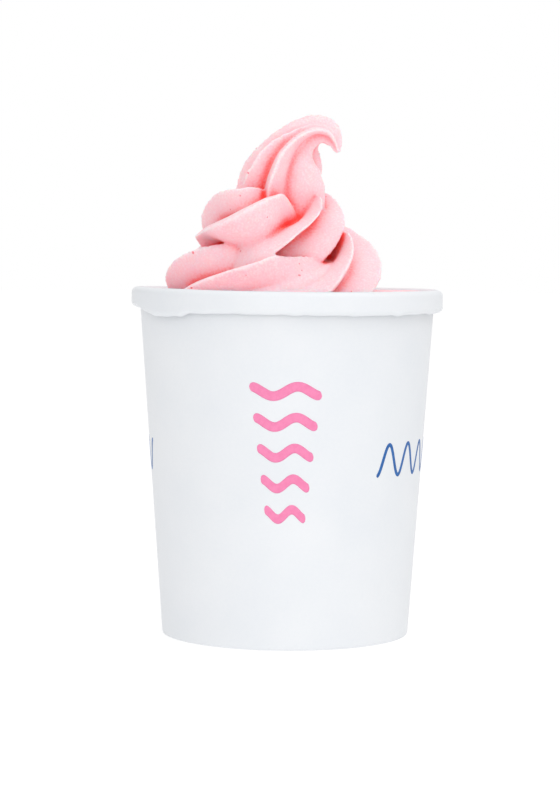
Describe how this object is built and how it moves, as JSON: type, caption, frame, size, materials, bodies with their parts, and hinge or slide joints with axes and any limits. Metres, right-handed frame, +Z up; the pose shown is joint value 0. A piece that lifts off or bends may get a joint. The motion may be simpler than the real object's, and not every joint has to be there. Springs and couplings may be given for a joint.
{
  "type": "frozen yogurt cup",
  "caption": "Paper cup with a rolled rim, filled to the brim with pink frozen yogurt that is piped in a ridged swirl, drawn up to a peak that hooks over to one side.",
  "frame": {"origin": "middle of the cup's foot, on the surface that the cup stands on", "axes": "+Z up along the cup's axis, -Y towards the viewer that sees the peak hook over to the right, +X to that viewer's right"},
  "size_m": [0.095, 0.095, 0.1589],
  "materials": {
    "cup_paper": "satin",
    "frozen_yogurt": "matte"
  },
  "bodies": {
    "root": {"paper_cup": "cup_paper", "frozen_yogurt": "frozen_yogurt"}
  },
  "joints": []
}
